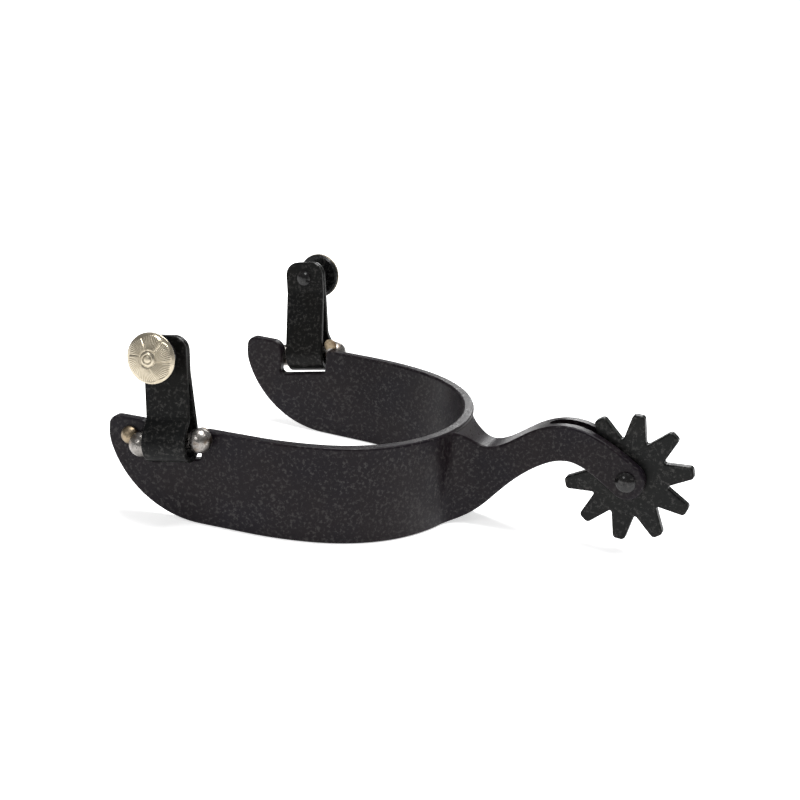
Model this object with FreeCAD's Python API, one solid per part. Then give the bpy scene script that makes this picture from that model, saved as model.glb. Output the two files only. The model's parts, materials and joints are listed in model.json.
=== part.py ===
import FreeCAD, Part
import math
import os
from FreeCAD import Placement, Rotation, Vector

# One western riding spur.  A steel heel band goes round the back of the boot, a shank behind it
# carries a ten-point rowel on a riveted pin, and a folded hanger with a strap button is hinged in a
# notch near the front end of each arm.
#
# Millimetres.  +X runs backwards to the rowel, +Y to the wearer's right, +Z up.  The origin is on
# the band's bottom edge at the back of the heel, in the middle of the band's thickness.
# "left" pieces are on the -Y arm and "right" pieces on the +Y arm.

# Heel band: plan sizes are those of its inner face.
band_height = 25.8
band_thickness = 3.0
front_drop = 1.0          # the top edge is this much lower at the front end than at the heel
inside_width = 77.6       # between the arms where they leave the heel curve
arm_length = 81.4         # from the outer face at the heel to the front end
heel_radius = 42.0
heel_turn = 30.0
shoulder_turn = 40.0
cheek_radius = 55.0
arm_flare = 2.5           # each arm still opens outwards by this angle
nose_radius = 27.5        # the sweep that rises from the bottom edge to the front end
nose_turn = 67.0
toe_radius = 11.0
top_corner_radius = 2.6
band_edge_round = 0.6

# Hinge in each arm: a pin between two balls that are welded to the arm's outer face.
pin_setback = 18.2        # from the front end to the middle of the pin
pin_drop = 3.6            # from the top edge down to the middle of the pin
pin_standoff = 2.6        # from the outer face out to the pin's axis
pin_rise = 14.0           # the pin climbs towards the heel
pin_radius = 2.0
ball_diameter = 6.4
ball_flat = 1.9           # from a ball's middle to the flat on it that faces the hanger
ball_gap = 0.4            # between the hanger's side and that flat
front_weld_diameter = 4.8
front_weld_reach = 4.0    # from the ball's middle away from the hanger
front_weld_lift = 2.0
rear_weld_diameter = 3.8
rear_weld_lift = {"left": 0.8, "right": 2.6}

# Hanger: one strip folded round the pin, both ends riveted together by the button's post.
hanger_width = 11.6
hanger_gauge = 1.3
hanger_height = 27.1      # from the pin's axis to the rounded top
hanger_seam = 0.1         # between the two layers where they lie together
hanger_lean = {"left": 8.5, "right": 11.5}    # forwards, which the loose curls allow
curl_radius = 4.9         # outside of the curl
outer_bend_height = 6.0   # where the outer layer opens away to the curl
inner_bend_height = 18.0  # where the inner layer does
bend_radius = 2.0
hanger_corner = 3.8
hanger_edge_round = 0.25
outward_lean = {"left": -7.0, "right": 7.0}   # how each hanger happens to stand

# Notch under the hanger.
notch_side_clearance = 1.3
notch_floor_clearance = {"left": 1.4, "right": 0.5}
notch_rise = 12.0
notch_floor_round = 1.2
notch_heel_round = 1.0
notch_front_round = 3.0

# Strap button.
button_height = 22.5      # from the pin's axis to the button's post
post_radius = 1.8
collar_diameter = 6.8
collar_thickness = 0.8
neck_length = 5.4         # from the collar to the button's back
back_diameter = 12.4
back_thickness = 1.2
cap_diameter = 12.8
cap_thickness = 2.4
rivet_head_diameter = 4.3
rivet_head_height = 0.7

# Shank.
shank_reach = 46.2        # from the origin to the rowel's pin
rowel_height = 19.9       # of the rowel's pin above the bottom edge
shank_width = 9.0
root_flare_radius = 8.0
valley_reach = 8.3
valley_drop = 3.9         # from the band's top edge down to the low point behind the heel
hump_reach = 29.5
hump_rise = 5.7           # from the band's top edge up to the top of the hump
hump_depth = 9.4
eye_radius = 4.8
shank_edge_round = 0.6
slot_width = 3.6
slot_length = 20.5        # from the rowel's pin to the slot's rounded end

# Rowel and its pin.
rowel_radius = 16.9
valley_radius = 9.9
point_count = 10
point_width = 3.0
point_round = 1.1
valley_round = 0.5
rowel_thickness = 2.6
rowel_turn = 38.0         # how far the rowel happens to be turned
rowel_edge_round = 0.45
rowel_pin_radius = 1.6
rowel_running_clearance = 0.05
pin_head_diameter = 5.4
pin_head_height = 1.7


def polar(radius, degrees):
    angle = math.radians(degrees)
    return Vector(radius * math.cos(angle), radius * math.sin(angle), 0)


class Trace:
    """A run of straight and curved stretches in the XY plane, each one tangent to the last."""

    def __init__(self, start, heading):
        self.point = start
        self.heading = heading
        self.stretches = []

    def straight(self, length):
        end = self.point + polar(length, self.heading)
        self.stretches.append(("straight", self.point, end, self.heading))
        self.point = end

    def bend(self, radius, turn):
        """Turn to the left by a positive angle, to the right by a negative one."""
        side = math.copysign(1, turn)
        centre = self.point + polar(radius * side, self.heading + 90)
        first = self.heading - 90 * side
        self.stretches.append(("bend", centre, radius, first, turn))
        self.heading += turn
        self.point = centre + polar(radius, first + turn)

    def edges(self, offset=0.0):
        """The run itself, or a parallel run moved to its right by the offset."""
        made = []
        for stretch in self.stretches:
            if stretch[0] == "straight":
                shift = polar(offset, stretch[3] - 90)
                made.append(Part.makeLine(stretch[1] + shift, stretch[2] + shift))
            else:
                centre, radius, first, turn = stretch[1:]
                reach = radius + offset * math.copysign(1, turn)
                points = [centre + polar(reach, first + turn * part) for part in (0, 0.5, 1)]
                made.append(Part.Arc(*points).toShape())
        return made

    def strip(self, low, high, height):
        """The solid between two parallel runs, made stretch by stretch and joined."""
        solid = None
        for inner, outer in zip(self.edges(low), self.edges(high)):
            ends = [edge.valueAt(edge.FirstParameter) for edge in (inner, outer)]
            tails = [edge.valueAt(edge.LastParameter) for edge in (inner, outer)]
            wire = Part.Wire(Part.__sortEdges__(
                [inner, outer, Part.makeLine(*ends), Part.makeLine(*tails)]))
            piece = Part.Face(wire).extrude(Vector(0, 0, height))
            solid = piece if solid is None else solid.fuse(piece)
        return solid.removeSplitter()


def rounded_wire(corners):
    """A closed wire in the XY plane through (x, y, radius) corners, each rounded by its radius."""
    starts, ends, arcs = [], [], []
    count = len(corners)
    for index, (x, y, radius) in enumerate(corners):
        corner = Vector(x, y, 0)
        before = Vector(*corners[index - 1][:2], 0) - corner
        after = Vector(*corners[(index + 1) % count][:2], 0) - corner
        before.normalize()
        after.normalize()
        half = before.getAngle(after) / 2
        reach = radius / math.tan(half) if radius else 0
        starts.append(corner + before * reach)
        ends.append(corner + after * reach)
        if radius:
            middle = (before + after).normalize() * (radius / math.sin(half) - radius)
            arcs.append(Part.Arc(starts[-1], corner + middle, ends[-1]).toShape())
        else:
            arcs.append(None)
    edges = []
    for index in range(count):
        if arcs[index]:
            edges.append(arcs[index])
        edges.append(Part.makeLine(ends[index], starts[(index + 1) % count]))
    return Part.Wire(edges)


def side_prism(wire, low, high):
    """A wire drawn in X and Z, made solid across the spur from Y = low to Y = high."""
    face = Part.Face(wire)
    face.rotate(Vector(0, 0, 0), Vector(1, 0, 0), 90)
    face.translate(Vector(0, high, 0))
    return face.extrude(Vector(0, low - high, 0))


def mirrored(shape):
    return shape.mirror(Vector(0, 0, 0), Vector(0, 1, 0))


def only_solid(shape):
    solids = shape.Solids
    assert len(solids) == 1, "a piece came out as %d solids" % len(solids)
    return solids[0]


# ---------------------------------------------------------------- heel band

shoulder_radius = (
    inside_width / 2
    - heel_radius * math.sin(math.radians(heel_turn))
    - cheek_radius * (math.cos(math.radians(arm_flare))
                      - math.sin(math.radians(heel_turn + shoulder_turn)))
) / (math.sin(math.radians(heel_turn + shoulder_turn)) - math.sin(math.radians(heel_turn)))

front_end = band_thickness / 2 - arm_length
top_slope = front_drop / arm_length


def top_edge(x):
    return band_height + top_slope * x


def band_plan():
    """The inner face of the right arm, from the heel forwards."""
    plan = Trace(Vector(-band_thickness / 2, 0, 0), 90)
    plan.bend(heel_radius, heel_turn)
    plan.bend(shoulder_radius, shoulder_turn)
    plan.bend(cheek_radius, 90 - arm_flare - heel_turn - shoulder_turn)
    spare = 3.0
    plan.straight((plan.point.x - front_end) / math.cos(math.radians(arm_flare)) + spare)
    return plan


def pin_middle():
    """The middle of the right hinge pin."""
    arm_tip = band_plan().point
    x = front_end + pin_setback
    along = (x - arm_tip.x) / math.cos(math.radians(arm_flare))
    inner = arm_tip + polar(along, -arm_flare)
    place = inner + polar(band_thickness + pin_standoff, 90 - arm_flare)
    return Vector(place.x, place.y, top_edge(x) - pin_drop)


pin_place = pin_middle()
curl_depth = math.sqrt(curl_radius ** 2 - pin_standoff ** 2)
notch_half = hanger_width / 2 + notch_side_clearance


def band_outline(side):
    """The side view with that arm's notch, square at its bottom front corner."""
    behind = band_thickness
    floor = pin_place.z - curl_depth - notch_floor_clearance[side]
    rise = notch_half * math.tan(math.radians(notch_rise))
    notch_front = pin_place.x - notch_half
    notch_back = pin_place.x + notch_half
    return rounded_wire([
        (behind, 0, 0),
        (front_end, 0, 0),
        (front_end, top_edge(front_end), top_corner_radius),
        (notch_front, top_edge(notch_front), notch_front_round),
        (notch_front, floor - rise, notch_floor_round),
        (notch_back, floor + rise, notch_floor_round),
        (notch_back, top_edge(notch_back), notch_heel_round),
        (behind, top_edge(behind), 0),
    ])


def nose_outline():
    """The bottom edge and the sweep up to the front end."""
    behind = band_thickness
    sweep = nose_radius * math.sin(math.radians(nose_turn))
    toe = toe_radius * (1 - math.sin(math.radians(nose_turn)))
    nose = Trace(Vector(behind, 0, 0), 180)
    nose.straight(behind - (front_end + sweep + toe))
    nose.bend(nose_radius, -nose_turn)
    nose.bend(toe_radius, nose_turn - 90)
    above = 2 * band_height
    nose.straight(above - nose.point.y)
    edges = nose.edges()
    edges.append(Part.makeLine(nose.point, Vector(behind, above, 0)))
    edges.append(Part.makeLine(Vector(behind, above, 0), Vector(behind, 0, 0)))
    return Part.Wire(edges)


def band_blank():
    """The bent strip, before its side view is cut."""
    half = band_plan().strip(0, band_thickness, 2 * band_height)
    whole = half.fuse(mirrored(half)).removeSplitter()
    return only_solid(whole)


def heel_band():
    far = inside_width
    side_view = side_prism(band_outline("left"), -far, 0)
    side_view = side_view.fuse(side_prism(band_outline("right"), 0, far))
    shape = band_blank().common(side_view)
    shape = shape.common(side_prism(nose_outline(), -far, far)).removeSplitter()
    shape = only_solid(shape)
    return shape.makeFillet(band_edge_round, shape.Edges)


# ---------------------------------------------------------------- shank

root_top = band_height - band_edge_round / 2
valley_top = band_height - valley_drop
hump_top = band_height + hump_rise
hump_bottom = hump_top - hump_depth
eye = Vector(shank_reach, rowel_height, 0)


def smooth(points, start=None, end=None):
    curve = Part.BSplineCurve()
    if start:
        curve.interpolate(Points=points, InitialTangent=start, FinalTangent=end)
    else:
        curve.interpolate(Points=points)
    return curve.toShape()


def shank_outline():
    """The side view: down from the band's top edge, over the hump and down to the eye."""
    eye_top = eye + polar(eye_radius, 62)
    eye_bottom = eye + polar(eye_radius, -118)
    rise = hump_top - valley_top
    run = hump_reach - valley_reach
    top = smooth([
        Vector(0, root_top, 0),
        Vector(valley_reach / 2, valley_top + valley_drop * 0.42, 0),
        Vector(valley_reach, valley_top, 0),
        Vector(valley_reach + run * 0.27, valley_top + rise * 0.21, 0),
        Vector(valley_reach + run * 0.57, valley_top + rise * 0.68, 0),
        Vector(hump_reach, hump_top, 0),
        Vector((hump_reach + eye_top.x) / 2, (hump_top + eye_top.y) / 2 + 1.6, 0),
        eye_top,
    ])
    run_under = hump_reach + 1.5
    bottom = smooth([
        eye_bottom,
        Vector((run_under + eye_bottom.x) / 2, (hump_bottom + eye_bottom.y) / 2 + 1.0, 0),
        Vector(run_under, hump_bottom, 0),
        Vector(run_under * 0.70, hump_bottom * 0.83, 0),
        Vector(run_under * 0.45, hump_bottom * 0.50, 0),
        Vector(run_under * 0.21, hump_bottom * 0.14, 0),
        Vector(0, 0, 0),
    ])
    end = Part.Arc(eye_top, eye + polar(eye_radius, -28), eye_bottom).toShape()
    close = Part.makeLine(Vector(0, 0, 0), Vector(0, root_top, 0))
    return Part.Wire([top, end, bottom, close])


def shank_plan():
    """The top view: a bar whose sides flare out until they run into the heel curve."""
    half = shank_width / 2
    outer = heel_radius + band_thickness
    heel_centre = Vector(band_thickness / 2 - outer, 0, 0)
    reach = outer + root_flare_radius
    lean = math.degrees(math.asin((half + root_flare_radius) / reach))
    far = shank_reach + 2 * eye_radius
    edges = []
    inner_ends = []
    for side in (-1, 1):
        centre = heel_centre + polar(reach, side * lean)
        touch = heel_centre + polar(outer, side * lean)
        inside = heel_centre + polar(outer - band_thickness / 2, side * lean)
        bend = Vector(centre.x, side * half, 0)
        towards = (touch - centre).normalize() + (bend - centre).normalize()
        middle = centre + towards.normalize() * root_flare_radius
        edges.append(Part.makeLine(inside, touch))
        edges.append(Part.Arc(touch, middle, bend).toShape())
        edges.append(Part.makeLine(bend, Vector(far, side * half, 0)))
        inner_ends.append(inside)
    edges.append(Part.makeLine(*inner_ends))
    edges.append(Part.makeLine(Vector(far, -half, 0), Vector(far, half, 0)))
    wire = Part.Wire(Part.__sortEdges__(edges))
    return Part.Face(wire).extrude(Vector(0, 0, 2 * hump_top))


def slot_cutter():
    start = shank_reach - slot_length
    box = Part.makeBox(slot_length + 2 * eye_radius, slot_width, 2 * hump_top,
                       Vector(start, -slot_width / 2, 0))
    end = Part.makeCylinder(slot_width / 2, 2 * hump_top, Vector(start, 0, 0))
    return box.fuse(end)


def cross_rod(radius, length):
    """A rod across the spur through the rowel's centre."""
    return Part.makeCylinder(radius, length, Vector(eye.x, -length / 2, eye.y), Vector(0, 1, 0))


def shank():
    wide = shank_width + 2 * root_flare_radius
    shape = side_prism(shank_outline(), -wide, wide).common(shank_plan())
    shape = only_solid(shape.removeSplitter())
    side_edges = [edge for edge in shape.Edges if edge.BoundBox.XMax > band_thickness]
    shape = shape.makeFillet(shank_edge_round, side_edges)
    shape = shape.cut(band_blank())
    pieces = sorted(shape.Solids, key=lambda piece: piece.Volume)
    shape = pieces[-1].cut(slot_cutter()).cut(cross_rod(rowel_pin_radius, 2 * shank_width))
    return only_solid(shape.removeSplitter())


# ---------------------------------------------------------------- rowel

def rowel():
    """A star of blunt points, thick enough to turn freely in the slot."""
    corners = []
    pitch = 360 / point_count
    half = point_width / 2
    for index in range(point_count):
        angle = 90 - rowel_turn - index * pitch
        ahead = polar(1, angle)
        across = polar(1, angle + 90)
        for side in (1, -1):
            corner = ahead * rowel_radius + across * (half * side)
            corners.append((corner.x, corner.y, point_round))
        valley = polar(valley_radius, angle - pitch / 2)
        corners.append((valley.x, valley.y, valley_round))
    blank = side_prism(rounded_wire(corners), -rowel_thickness / 2, rowel_thickness / 2)
    rims = [edge for edge in blank.Edges
            if abs(edge.BoundBox.YMax - edge.BoundBox.YMin) < 0.01]
    blank = blank.makeFillet(rowel_edge_round, rims)
    blank.translate(Vector(eye.x, 0, eye.y))
    bore = cross_rod(rowel_pin_radius + rowel_running_clearance, 2 * rowel_thickness)
    return only_solid(blank.cut(bore))


def dome(diameter, height):
    """A low domed head on the XY plane, with a short upright rim."""
    rim = height * 0.25
    rise = height - rim
    half = diameter / 2
    side = Vector(half, 0, rim)
    crown = Vector(0, 0, height)
    ball = (half ** 2 + rise ** 2) / (2 * rise)
    middle = Vector(half * 0.55, 0, height - ball + math.sqrt(ball ** 2 - (half * 0.55) ** 2))
    wire = Part.Wire([
        Part.makeLine(Vector(0, 0, 0), Vector(half, 0, 0)),
        Part.makeLine(Vector(half, 0, 0), side),
        Part.Arc(side, middle, crown).toShape(),
        Part.makeLine(crown, Vector(0, 0, 0)),
    ])
    return Part.Face(wire).revolve(Vector(0, 0, 0), Vector(0, 0, 1), 360)


def rowel_pin():
    """A rod through both cheeks and the rowel, riveted over into a domed head at each end."""
    shape = cross_rod(rowel_pin_radius, shank_width)
    for side in (-1, 1):
        head = dome(pin_head_diameter, pin_head_height)
        head.rotate(Vector(0, 0, 0), Vector(1, 0, 0), -90 * side)
        head.translate(Vector(eye.x, side * shank_width / 2, eye.y))
        shape = shape.fuse(head)
    return only_solid(shape.removeSplitter())


# ---------------------------------------------------------------- hinge and hanger
# These are drawn about the middle of the pin, with X backwards along the arm, Y outwards and
# Z up, and are then put in place on the right arm.  The left ones are mirrored.

on_arm = Placement(pin_place, Rotation(Vector(0, 0, 1), -arm_flare))
pin_tilt = Rotation(Vector(0, 1, 0), -pin_rise)
pin_half = hanger_width / 2 + ball_gap + ball_flat


def placed(shape, placement):
    moved = shape.copy()
    moved.Placement = placement.multiply(moved.Placement)
    return moved


def along_pin(shape):
    return placed(shape, on_arm.multiply(Placement(Vector(), pin_tilt)))


def hinge_pin():
    rod = Part.makeCylinder(pin_radius, 2 * pin_half, Vector(-pin_half, 0, 0), Vector(1, 0, 0))
    return along_pin(rod)


def whole_ball(end):
    """A ball round one end of the pin, ground flat on the side towards the hanger."""
    radius = ball_diameter / 2
    shape = Part.makeSphere(radius, Vector(), Vector(0, 1, 0))
    kept = Part.makeBox(radius + ball_flat, ball_diameter, ball_diameter,
                        Vector(-ball_flat if end > 0 else -radius, -radius, -radius))
    shape = shape.common(kept)
    shape.translate(Vector(end * pin_half, 0, 0))
    return along_pin(shape)


def ball(end):
    """The ball with a blind bore for the pin, seated on the arm's outer face."""
    return only_solid(whole_ball(end).cut(band_blank()).cut(hinge_pin()))


def weld(end, side):
    """The bead that joins a ball to the arm: in front of the front ball, behind the rear one."""
    if end < 0:
        middle = Vector(-pin_half - front_weld_reach, -pin_standoff, front_weld_lift)
        diameter = front_weld_diameter
    else:
        middle = Vector(pin_half, -pin_standoff, rear_weld_lift[side])
        diameter = rear_weld_diameter
    shape = along_pin(Part.makeSphere(diameter / 2, middle, Vector(0, 1, 0)))
    return only_solid(shape.cut(band_blank()).cut(whole_ball(end)))


def curl_trace():
    """The strip's middle line: down the outer layer, round the curl and up the inner layer."""
    middle = curl_radius - hanger_gauge / 2
    aside = (hanger_gauge + hanger_seam) / 2

    def splay(height):
        corner = math.hypot(aside, height)
        return math.degrees(math.atan2(height, aside) - math.acos(middle / corner))

    def leg(height):
        return math.sqrt(aside ** 2 + height ** 2 - middle ** 2)

    outer_splay = splay(outer_bend_height)
    inner_splay = splay(inner_bend_height)
    outer_corner = bend_radius * math.tan(math.radians(outer_splay / 2))
    inner_corner = bend_radius * math.tan(math.radians(inner_splay / 2))
    trace = Trace(Vector(aside, hanger_height, 0), -90)
    trace.straight(hanger_height - outer_bend_height - outer_corner)
    trace.bend(bend_radius, outer_splay)
    trace.straight(leg(outer_bend_height) - outer_corner)
    trace.bend(middle, -(180 + outer_splay + inner_splay))
    trace.straight(leg(inner_bend_height) - inner_corner)
    trace.bend(bend_radius, inner_splay)
    trace.straight(hanger_height - inner_bend_height - inner_corner)
    return trace


def post_rod(radius, low, high):
    return Part.makeCylinder(radius, high - low, Vector(0, low, button_height), Vector(0, 1, 0))


def hanger():
    half = hanger_gauge / 2
    strip = curl_trace().strip(-half, half, hanger_width)
    strip.rotate(Vector(0, 0, 0), Vector(1, 1, 1), 120)
    strip.translate(Vector(-hanger_width / 2, 0, 0))
    deep = 2 * curl_radius
    outline = rounded_wire([
        (-hanger_width / 2, hanger_height, hanger_corner),
        (-hanger_width / 2, -deep, 0),
        (hanger_width / 2, -deep, 0),
        (hanger_width / 2, hanger_height, hanger_corner),
    ])
    shape = only_solid(strip.common(side_prism(outline, -deep, deep)).removeSplitter())
    side_faces = [face for face in shape.Faces if face.BoundBox.XLength < 0.001]
    rims = {edge.hashCode(): edge for face in side_faces for edge in face.Edges}
    shape = shape.makeFillet(hanger_edge_round, list(rims.values()))
    return only_solid(shape.cut(post_rod(post_radius, -deep, deep)))


# ---------------------------------------------------------------- strap button

hanger_face = hanger_gauge + hanger_seam / 2
collar_face = hanger_face + collar_thickness
back_face = collar_face + neck_length
cap_face = back_face + back_thickness
post_end = back_face + back_thickness / 2


def outwards(shape, reach):
    """Turns a piece drawn on the XY plane so that it faces outwards at the button's height."""
    shape.rotate(Vector(0, 0, 0), Vector(1, 0, 0), -90)
    shape.translate(Vector(0, reach, button_height))
    return shape


def button_post():
    """A rivet with its low head against the inner layer."""
    shape = post_rod(post_radius, -hanger_face, post_end)
    head = dome(rivet_head_diameter, rivet_head_height)
    head.rotate(Vector(0, 0, 0), Vector(1, 0, 0), 90)
    head.translate(Vector(0, -hanger_face, button_height))
    return only_solid(shape.fuse(head).removeSplitter())


def button_collar():
    ring = Part.makeCylinder(collar_diameter / 2, collar_thickness)
    ring = ring.makeFillet(collar_thickness * 0.35, [ring.Edges[0]])
    return outwards(ring, hanger_face).cut(post_rod(post_radius, 0, post_end))


def button_back():
    disc = Part.makeCylinder(back_diameter / 2, back_thickness)
    disc = disc.makeChamfer(back_thickness * 0.45, [disc.Edges[2]])
    return outwards(disc, back_face).cut(post_rod(post_radius, 0, post_end))


def button_cap():
    return outwards(dome(cap_diameter, cap_thickness), cap_face)


def swung(shape, side):
    """Leans a hanger piece forwards, then outwards on the pin, and puts it on the right arm."""
    axis = pin_tilt.multVec(Vector(1, 0, 0))
    lean = Placement(Vector(), Rotation(Vector(0, 1, 0), -hanger_lean[side]))
    swing = Placement(Vector(), Rotation(axis, -outward_lean[side]))
    return placed(shape, on_arm.multiply(swing).multiply(lean))


# ---------------------------------------------------------------- the whole spur

def pieces():
    made = {
        "heel_band": heel_band(),
        "shank": shank(),
        "rowel": rowel(),
        "rowel_pin": rowel_pin(),
    }
    fixed = {
        "hinge_pin": hinge_pin(),
        "front_ball": ball(-1),
        "rear_ball": ball(1),
    }
    swinging = {
        "hanger": hanger(),
        "button_post": button_post(),
        "button_collar": button_collar(),
        "button_back": button_back(),
        "button_cap": button_cap(),
    }
    for side in ("left", "right"):
        fixed["front_weld"] = weld(-1, side)
        fixed["rear_weld"] = weld(1, side)
        for name, shape in fixed.items():
            made[side + "_" + name] = shape if side == "right" else mirrored(shape)
        for name, shape in swinging.items():
            shape = swung(shape, side)
            made[side + "_" + name] = shape if side == "right" else mirrored(shape)
    return made


os.makedirs("parts", exist_ok=True)
for name, shape in pieces().items():
    assert shape.isValid(), name + " is not a valid solid"
    only_solid(shape).exportStep("parts/" + name + ".step")

hinge_axis = on_arm.Rotation.multVec(pin_tilt.multVec(Vector(-1, 0, 0)))
print("right hinge at", tuple(pin_place), "axis, positive outwards", tuple(hinge_axis))
for side in ("left", "right"):
    neck = swung(Part.Vertex(0, (collar_face + back_face) / 2, button_height), side).Point
    out = swung(Part.Vertex(0, back_face, button_height), side).Point - neck
    print(side, "button neck, as on the right arm:", tuple(neck), "outwards", tuple(out.normalize()))
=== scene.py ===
import json
import math

import bpy
from mathutils import Matrix, Vector, noise


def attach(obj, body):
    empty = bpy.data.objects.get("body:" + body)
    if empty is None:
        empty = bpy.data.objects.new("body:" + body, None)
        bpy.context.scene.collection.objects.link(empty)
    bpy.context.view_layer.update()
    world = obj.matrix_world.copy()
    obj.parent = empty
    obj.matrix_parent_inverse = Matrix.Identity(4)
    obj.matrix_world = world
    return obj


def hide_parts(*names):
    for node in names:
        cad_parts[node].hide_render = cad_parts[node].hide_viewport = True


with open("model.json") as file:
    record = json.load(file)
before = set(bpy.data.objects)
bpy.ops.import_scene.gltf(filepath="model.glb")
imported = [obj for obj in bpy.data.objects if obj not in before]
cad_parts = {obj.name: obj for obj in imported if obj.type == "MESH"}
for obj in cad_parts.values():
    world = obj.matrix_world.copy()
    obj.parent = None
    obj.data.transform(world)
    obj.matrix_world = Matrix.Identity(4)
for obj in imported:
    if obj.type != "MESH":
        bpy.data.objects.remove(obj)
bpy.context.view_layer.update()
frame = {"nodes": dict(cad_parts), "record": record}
scene = bpy.context.scene
scene.view_settings.view_transform = "Standard"


# ---------------------------------------------------------------- camera
# A long lens from the wearer's left and a little above, looking at the space between the arms.
# The camera is turned a few degrees about its own line of sight.

looks_at = Vector((-0.0172, 0, 0.0284))
distance = 0.4785
turned = math.radians(18.54)
raised = math.radians(18.28)
rolled = math.radians(5.06)

towards_camera = Vector((math.sin(turned) * math.cos(raised),
                         -math.cos(turned) * math.cos(raised),
                         math.sin(raised)))
level = Vector((math.cos(turned), math.sin(turned), 0))
upright = towards_camera.cross(level)
right = level * math.cos(rolled) + upright * math.sin(rolled)
up = upright * math.cos(rolled) - level * math.sin(rolled)

camera = bpy.data.objects.new("camera", bpy.data.cameras.new("camera"))
camera.data.sensor_width = 36
camera.data.lens = 81.39
camera.data.clip_start = 0.01
camera.matrix_world = Matrix.Translation(looks_at + towards_camera * distance) @ Matrix(
    (right, up, towards_camera)).transposed().to_4x4()
scene.collection.objects.link(camera)
scene.camera = camera


# ---------------------------------------------------------------- floor and light
# The spur stands on a plain white floor.  A wide soft box hangs over it, a small one stands low
# behind it and another is high in front, so that the rounded edges catch thin lines of light.

class Socket:
    """One socket of a material's nodes.  Sums and products of sockets add the nodes for them."""

    def __init__(self, tree, link):
        self.tree = tree
        self.link = link

    def node(self, kind, settings=None, inputs=None, output=0):
        """Any other node: its settings first, then values or links for its input sockets."""
        made = self.tree.nodes.new(kind)
        for name, value in (settings or {}).items():
            setattr(made, name, value)
        for name, value in (inputs or {}).items():
            if isinstance(value, Socket):
                self.tree.links.new(value.link, made.inputs[name])
            else:
                made.inputs[name].default_value = value
        return Socket(self.tree, made.outputs[output])

    def maths(self, operation, *values):
        return self.node("ShaderNodeMath", {"operation": operation}, dict(enumerate(values)))

    def __add__(self, other):
        return self.maths("ADD", self, other)

    def __sub__(self, other):
        return self.maths("SUBTRACT", self, other)

    def __rsub__(self, other):
        return self.maths("SUBTRACT", other, self)

    def __mul__(self, other):
        return self.maths("MULTIPLY", self, other)

    __radd__ = __add__
    __rmul__ = __mul__

    def between(self, low, high):
        """0 at low and below, 1 at high and above, and smooth between them."""
        return self.node("ShaderNodeMapRange", {"interpolation_type": "SMOOTHSTEP"},
                         {"Value": self, "From Min": low, "From Max": high})

    def parts(self):
        """The X, Y and Z of a vector."""
        return [self.node("ShaderNodeSeparateXYZ", None, {0: self}, axis) for axis in range(3)]

    def noise(self, size, detail=3.0, roughness=0.55, stretch=(1, 1, 1)):
        """Noise whose lumps are about this many metres across, read at this place."""
        place = self.node("ShaderNodeMapping", None, {"Vector": self, "Scale": stretch})
        return self.node("ShaderNodeTexNoise", None, {
            "Vector": place, "Scale": 1 / size, "Detail": detail, "Roughness": roughness})

    def blend(self, first, second):
        """From the first colour to the second as this value goes from 0 to 1."""
        return self.node("ShaderNodeMix", {"data_type": "RGBA"},
                         {0: self, 6: first, 7: second}, 2)


class Finish:
    """A material whose shader gets its plain numbers at once and its patterns one by one."""

    def __init__(self, name, **numbers):
        self.material = bpy.data.materials.new(name)
        self.material.use_nodes = True
        tree = self.material.node_tree
        self.shader = tree.nodes["Principled BSDF"]
        for socket, value in numbers.items():
            self.shader.inputs[socket.replace("_", " ")].default_value = value
        coordinates = tree.nodes.new("ShaderNodeTexCoord")
        self.place = Socket(tree, coordinates.outputs["Object"])
        self.facing = Socket(tree, coordinates.outputs["Normal"])

    def set(self, socket, value):
        self.place.tree.links.new(value.link, self.shader.inputs[socket])

    def bump(self, height, depth):
        """Raises the surface by up to this many metres where the height goes from 0 to 1."""
        self.set("Normal", height.node("ShaderNodeBump", None, {
            "Height": height, "Distance": depth, "Strength": 1.0}))

    def attribute(self, name):
        return self.place.node("ShaderNodeAttribute", {"attribute_name": name}, None, 2)


floor_size = 12.0
floor_drop = 0.0001           # keeps the floor clear of the band's flat bottom edge
floor_glow = 0.62             # the floor's own light, so that it stays white far from the lamps
sky_strength = 0.30

floor_mesh = bpy.data.meshes.new("floor")
half_floor = floor_size / 2
corners = ((-1, -1), (1, -1), (1, 1), (-1, 1))
floor_mesh.from_pydata([(x * half_floor, y * half_floor, -floor_drop) for x, y in corners],
                       [], [(0, 1, 2, 3)])
floor = bpy.data.objects.new("floor", floor_mesh)
scene.collection.objects.link(floor)
floor_paint = Finish("floor_paint", Base_Color=(0.86, 0.86, 0.86, 1), Roughness=0.9,
                     Specular_IOR_Level=0.0, Emission_Color=(1, 1, 1, 1), Emission_Strength=floor_glow)
floor.data.materials.append(floor_paint.material)

surroundings = bpy.data.worlds.new("surroundings")
surroundings.use_nodes = True
sky = surroundings.node_tree.nodes["Background"]
sky.inputs["Color"].default_value = (1, 1, 1, 1)
sky.inputs["Strength"].default_value = sky_strength
scene.world = surroundings


def soft_box(name, place, aim, width, height, power):
    """A rectangular lamp at a place, turned to shine at its aim."""
    lamp = bpy.data.lights.new(name, "AREA")
    lamp.shape = "RECTANGLE"
    lamp.size = width
    lamp.size_y = height
    lamp.energy = power
    box = bpy.data.objects.new(name, lamp)
    box.location = place
    box.rotation_euler = (Vector(aim) - Vector(place)).to_track_quat("-Z", "Y").to_euler()
    scene.collection.objects.link(box)


soft_box("overhead", (0.1, 0.15, 1.2), (0, 0, 0), 0.7, 0.5, 20)
soft_box("behind", (-0.2, 1.24, 0.42), (0, 0, 0.02), 0.35, 0.25, 2.5)
soft_box("front", (-0.45, -1.05, 0.8), (0, 0, 0.02), 0.3, 0.2, 2.5)


# ---------------------------------------------------------------- heel band
# The band is a strip of steel bent into a U, ground smooth and blackened.  The black is thin and
# uneven: it goes from plum to violet in clouds, and it has rubbed away a little along the edges.

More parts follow.
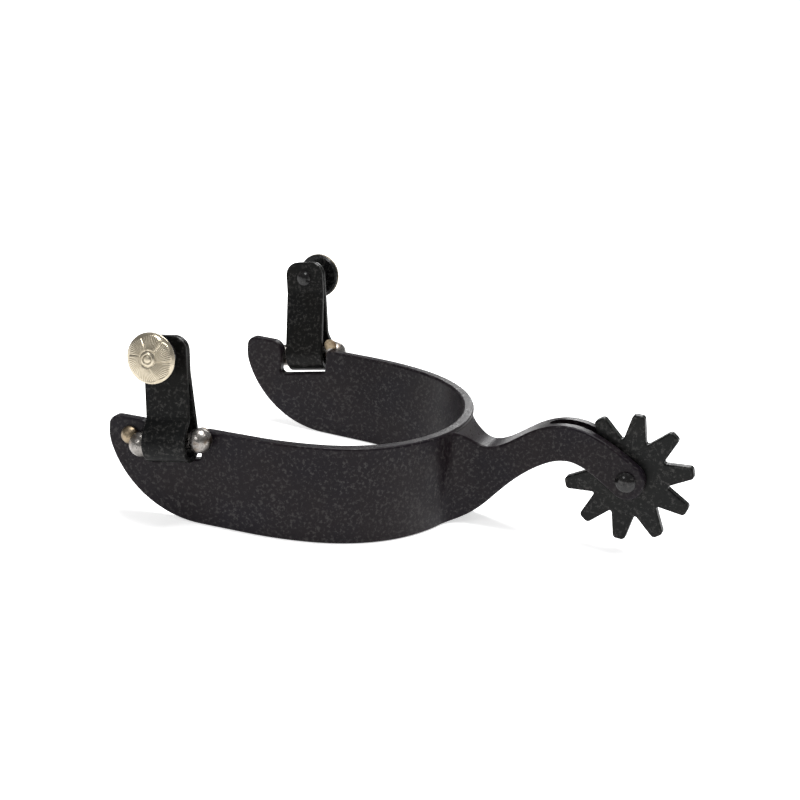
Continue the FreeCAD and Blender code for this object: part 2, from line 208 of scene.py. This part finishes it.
cloud_size = 0.016
patch_size = 0.007
grain_size = 0.00025
ripple_size = 0.006
scuff_size = 0.0012
scuff_stretch = (0.12, 1, 1.3)    # scuffs are long from heel to toe
rub_size = 0.0009
black_relief = 0.00004
scuff_colour = (0.016, 0.014, 0.015, 1)
bare_steel = (0.12, 0.115, 0.11, 1)


def black_finish(name, base, warm, cool, roughness, gloss=0.12):
    """Blackened steel: clouds of colour, a fine grain, faint scuffs and rubbed edges."""
    finish = Finish(name, Metallic=0.0, Specular_IOR_Level=gloss)
    place = finish.place
    clouds = place.noise(cloud_size, 2.0, 0.5).between(0.36, 0.64)
    patches = place.noise(patch_size, 3.0, 0.55).between(0.40, 0.66)
    grain = place.noise(grain_size, 2.0, 0.5)
    ripple = place.noise(ripple_size, 2.0, 0.45)
    scuffs = place.noise(scuff_size, 3.0, 0.6, scuff_stretch).between(0.66, 0.76)
    upward = finish.facing.parts()[2].maths("ABSOLUTE")
    rims = upward.between(0.20, 0.60) * (1 - upward.between(0.86, 0.995))
    rubbed = rims * place.noise(rub_size, 3.0, 0.7).between(0.50, 0.68)
    colour = clouds.blend((*warm, 1), (*cool, 1))
    colour = (patches * 0.4).blend(colour, (*base, 1))
    colour = (scuffs * 0.03).blend(colour, scuff_colour)
    colour = (rubbed * 0.30).blend(colour, bare_steel)
    finish.set("Base Color", colour)
    finish.set("Roughness", roughness + clouds * 0.04 + patches * 0.03 + grain * 0.05
               - scuffs * 0.01 - rubbed * 0.12)
    finish.bump(grain * 0.05 + ripple * 0.9 + scuffs * 0.005, black_relief)
    return finish.material


def dress(node, material):
    """Gives a CAD node its finish."""
    part = frame["nodes"][node]
    part.data.materials.clear()
    part.data.materials.append(material)


black_steel = black_finish("black_steel", (0.0058, 0.0040, 0.0058), (0.0070, 0.0044, 0.0058),
                           (0.0056, 0.0040, 0.0068), 0.30)
dress("heel_band", black_steel)


# ---------------------------------------------------------------- shank
# The shank is a forged steel bar welded to the back of the band and ground into it.  Its end is
# slotted for the rowel.  It has the band's finish.

dress("shank", black_steel)


# ---------------------------------------------------------------- rowel and its pin
# The rowel is a star of ten blunt points cut from sheet steel.  It turns on a pin that is riveted
# over into a domed head on each side.  The rowel is a plainer black than the band, and the pin is
# a glossier one.

black_rowel_steel = black_finish("black_rowel_steel", (0.0050, 0.0054, 0.0050),
                                 (0.0058, 0.0060, 0.0054), (0.0048, 0.0052, 0.0052), 0.32)
black_rivet = black_finish("black_rivet", (0.0050, 0.0050, 0.0050), (0.0060, 0.0056, 0.0054),
                           (0.0045, 0.0045, 0.0050), 0.14, 0.3)
dress("rowel", black_rowel_steel)
dress("rowel_pin", black_rivet)


# ---------------------------------------------------------------- hinges
# On each arm a steel pin runs between two stainless balls, and a bead of weld joins each ball to
# the arm.  The heat has left brown stains on the balls and turned the beads a straw colour.

tarnish_size = 0.0014
stain_size = 0.0032
pit_size = 0.00035
lump_size = 0.0011
lump_height = 0.00012
pit_colour = (0.07, 0.06, 0.05, 1)
tarnish_shade = 0.45              # tarnished steel keeps this share of its brightness


def stained_steel(name, base, stain, roughness):
    """Bright steel with fine lumps and pits, tarnish and a stain from welding."""
    finish = Finish(name, Metallic=1.0)
    place = finish.place
    tarnish = place.noise(tarnish_size, 4.0, 0.65).between(0.40, 0.68)
    heat = place.noise(stain_size, 3.0, 0.6).between(0.50, 0.68)
    pits = place.noise(pit_size, 2.0, 0.6).between(0.62, 0.74)
    colour = (tarnish * 0.6).blend((*base, 1), tuple(part * tarnish_shade for part in base) + (1,))
    colour = (heat * 0.75).blend(colour, (*stain, 1))
    colour = (pits * 0.6).blend(colour, pit_colour)
    finish.set("Base Color", colour)
    finish.set("Roughness", roughness + tarnish * 0.16 + pits * 0.2)
    finish.bump(place.noise(lump_size, 4.0, 0.6) - pits * 0.25, lump_height)
    return finish.material


bright_steel = stained_steel("bright_steel", (0.26, 0.245, 0.23), (0.12, 0.085, 0.055), 0.25)
weld_steel = stained_steel("weld_steel", (0.27, 0.215, 0.145), (0.11, 0.065, 0.035), 0.32)
for side in ("left", "right"):
    for node in ("hinge_pin", "front_ball", "rear_ball"):
        dress(side + "_" + node, bright_steel)
    for node in ("front_weld", "rear_weld"):
        dress(side + "_" + node, weld_steel)


# ---------------------------------------------------------------- hangers
# Each hanger is one strip of sheet steel folded round the hinge pin, with its two ends riveted
# together at the top.  It is sheared, bent and blackened, and is a little greener than the band.

black_strap_steel = black_finish("black_strap_steel", (0.0050, 0.0054, 0.0050),
                                 (0.0056, 0.0054, 0.0050), (0.0044, 0.0046, 0.0048), 0.30, 0.08)
for side in ("left", "right"):
    dress(side + "_hanger", black_strap_steel)


# ---------------------------------------------------------------- strap buttons
# Each button is a black steel disc on a riveted post, with a nickel silver cap pressed over it.
# The cap is struck with a plain flower: petals that overlap round a raised boss.

for side in ("left", "right"):
    for node in ("button_post", "button_collar", "button_back"):
        dress(side + "_" + node, black_rivet)

cap_radius = 0.0064
cap_rim = 0.0006
cap_rise = 0.0018
neck_to_cap = 0.0039          # from the middle of the neck, where the mount is, to the cap
petal_count = 6
petal_lines = 11
petal_reach = 0.0052          # how far a petal goes out where it meets the next one
petal_bulge = 0.0006          # and how much farther in its middle
petal_lift = 0.00018
petal_swell = 0.00034         # the side that lies over its neighbour stands this much higher
petal_twist = 0.2
line_depth = 0.00010
line_wander = 0.15
boss_radius = 0.0017
boss_skirt = 1.2              # the boss's dome runs down to this many times its radius
boss_height = 0.00055
ring_depth = 0.00022          # the ring punched into the boss
back_share = 0.97             # the back is this much smaller than the cap
spokes = 72                   # in one petal
rings = 72
cap_sink = 0.0004             # the dome is set this much lower than its own rim and rise say
fade_start = 0.975            # the pattern dies away over the last of the radius
rim_depth = 0.4               # how tarnished the rim and the back are


def smooth_step(low, high, value):
    part = min(1, max(0, (value - low) / (high - low)))
    return part * part * (3 - 2 * part)


def flower(radius, angle):
    """The height of the pressed pattern, and how deep in a groove this place is."""
    share = radius / cap_radius
    turn = (angle / (2 * math.pi) + petal_twist * (1 - share) ** 1.5 * 0.3) * petal_count
    along = turn - math.floor(turn)
    reach = petal_reach + petal_bulge * math.sin(math.pi * along) ** 0.6
    on_petal = smooth_step(boss_radius * 1.05, boss_radius * 1.5, radius)
    on_petal *= 1 - smooth_step(reach - 0.00012, reach + 0.00022, radius)
    swell = petal_swell * (1 - along) ** 0.8 * smooth_step(0, 0.09, along)
    wander = noise.noise(Vector((along * 3, radius * 900, 0)))
    line = 0.5 + 0.5 * math.cos(2 * math.pi * (along * petal_lines + line_wander * wander))
    groove = line ** 3 * smooth_step(0.02, 0.12, along) * smooth_step(1.0, 0.9, along)
    height = on_petal * (petal_lift + swell - line_depth * groove)
    depth = on_petal * max(groove, 1 - smooth_step(0.0, 0.06, along))
    if radius < boss_radius * boss_skirt:
        ring = abs(radius - boss_radius * 0.62) / (boss_radius * 0.16)
        dent = max(0, 1 - ring) ** 0.8
        dome = boss_height * math.sqrt(max(0, 1 - (radius / (boss_radius * boss_skirt)) ** 2))
        height = dome - ring_depth * dent
        depth = max(dent * 0.8, smooth_step(boss_radius * 0.98, boss_radius * boss_skirt, radius))
    return height, depth


def petal_wedge(name):
    """One petal's share of a closed cap: its slice of the struck dome, the short rim and the back."""
    points = []
    depths = []
    faces = []

    def add(radius, angle, height, depth):
        points.append((radius * math.cos(angle), radius * math.sin(angle), height))
        depths.append(depth)

    ball = (cap_radius ** 2 + cap_rise ** 2) / (2 * cap_rise)
    angles = [2 * math.pi * spoke / (petal_count * spokes) for spoke in range(spokes + 1)]
    for ring in range(1, rings + 1):
        radius = cap_radius * ring / rings
        dome = cap_rim + cap_rise - ball + math.sqrt(ball ** 2 - radius ** 2)
        fade = 1 - smooth_step(fade_start, 1.0, ring / rings)
        for angle in angles:
            height, depth = flower(radius, angle)
            add(radius, angle, dome + height * fade - cap_sink, depth * fade)
    for radius in (cap_radius, cap_radius * back_share):
        for angle in angles:
            add(radius, angle, 0, rim_depth)
    rows = rings + 2
    row_length = len(angles)
    for row in range(rows - 1):
        for spoke in range(spokes):
            inner = row * row_length + spoke
            outer = inner + row_length
            faces.append((inner, outer, outer + 1, inner + 1))
    crown = len(points)
    height, depth = flower(0, 0)
    add(0, 0, cap_rim + cap_rise + height - cap_sink, depth)
    back = len(points)
    add(0, 0, 0, rim_depth)
    last_row = (rows - 1) * row_length
    for spoke in range(spokes):
        faces.append((crown, spoke, spoke + 1))
        faces.append((back, last_row + spoke + 1, last_row + spoke))
    mesh = bpy.data.meshes.new(name)
    mesh.from_pydata(points, [], faces)
    groove = mesh.attributes.new("groove", "FLOAT", "POINT")
    groove.data.foreach_set("value", depths)
    return mesh


def turning_tree():
    """A node tree that sets copies of one wedge in a ring about Z and joins them where they meet."""
    tree = bpy.data.node_groups.new("set_in_a_ring", "GeometryNodeTree")
    sockets = {}
    for name, kind in (("Wedge", "NodeSocketGeometry"), ("Copies", "NodeSocketInt"),
                       ("Material", "NodeSocketMaterial")):
        sockets[name] = tree.interface.new_socket(name, in_out="INPUT", socket_type=kind).identifier
    tree.interface.new_socket("Ring", in_out="OUTPUT", socket_type="NodeSocketGeometry")

    def add(kind, inputs, **settings):
        node = tree.nodes.new(kind)
        for name, value in settings.items():
            setattr(node, name, value)
        for name, value in inputs.items():
            if isinstance(value, bpy.types.NodeSocket):
                tree.links.new(value, node.inputs[name])
            else:
                node.inputs[name].default_value = value
        return node

    given = tree.nodes.new("NodeGroupInput").outputs
    step = add("ShaderNodeMath", {0: 2 * math.pi, 1: given["Copies"]}, operation="DIVIDE")
    number = tree.nodes.new("GeometryNodeInputIndex")
    turn = add("ShaderNodeMath", {0: number.outputs[0], 1: step.outputs[0]}, operation="MULTIPLY")
    about_z = add("ShaderNodeCombineXYZ", {"Z": turn.outputs[0]})
    places = add("GeometryNodePoints", {"Count": given["Copies"]})
    copies = add("GeometryNodeInstanceOnPoints", {
        "Points": places.outputs[0], "Instance": given["Wedge"], "Rotation": about_z.outputs[0]})
    solid = add("GeometryNodeRealizeInstances", {"Geometry": copies.outputs[0]})
    joined = add("GeometryNodeMergeByDistance", {"Geometry": solid.outputs[0], "Distance": 1e-6})
    coated = add("GeometryNodeSetMaterial", {
        "Geometry": joined.outputs[0], "Material": given["Material"]})
    add("NodeGroupOutput", {0: coated.outputs[0]})
    return tree, sockets


def set_in_a_ring(name, wedge, count, material):
    """The mesh of a ring of wedges, made by the node tree."""
    wedge.materials.append(material)
    holder = bpy.data.objects.new(name, wedge)
    scene.collection.objects.link(holder)
    tree, sockets = turning_tree()
    ring = holder.modifiers.new("ring", "NODES")
    ring.node_group = tree
    ring[sockets["Copies"]] = count
    ring[sockets["Material"]] = material
    evaluated = holder.evaluated_get(bpy.context.evaluated_depsgraph_get())
    mesh = bpy.data.meshes.new_from_object(evaluated)
    holder.modifiers.remove(ring)
    bpy.data.objects.remove(holder)
    mesh.shade_smooth()
    return mesh


silver = Finish("nickel_silver", Metallic=1.0)
groove = silver.attribute("groove")
tarnish = silver.place.noise(0.0016, 4.0, 0.6).between(0.38, 0.70)
rub = silver.place.noise(0.0005, 3.0, 0.6)
tone = (tarnish * 0.45).blend((0.50, 0.445, 0.345, 1), (0.34, 0.290, 0.205, 1))
tone = (groove.between(0.25, 1.0) * 0.8).blend(tone, (0.09, 0.072, 0.046, 1))
silver.set("Base Color", tone)
silver.set("Roughness", 0.27 + tarnish * 0.10 + groove * 0.18)
silver.bump(rub, 0.00005)

mounts = {mount["name"]: mount for mount in frame["record"]["mounts"]}
flat_cap = set_in_a_ring("petals", petal_wedge("petal"), petal_count, silver.material)
for side in ("left", "right"):
    mount = mounts[side + "_button"]
    out = Vector(mount["axis"]).normalized()
    across = Vector((0, 0, 1)).cross(out).normalized()
    placing = Matrix((across, out.cross(across), out)).transposed().to_4x4()
    placing.translation = Vector(mount["pos_m"]) + out * neck_to_cap
    cap_mesh = flat_cap.copy()
    cap_mesh.transform(placing)
    cap = bpy.data.objects.new(side + "_engraved_cap", cap_mesh)
    scene.collection.objects.link(cap)
    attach(cap, side + "_hanger_group")
    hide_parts(side + "_button_cap")
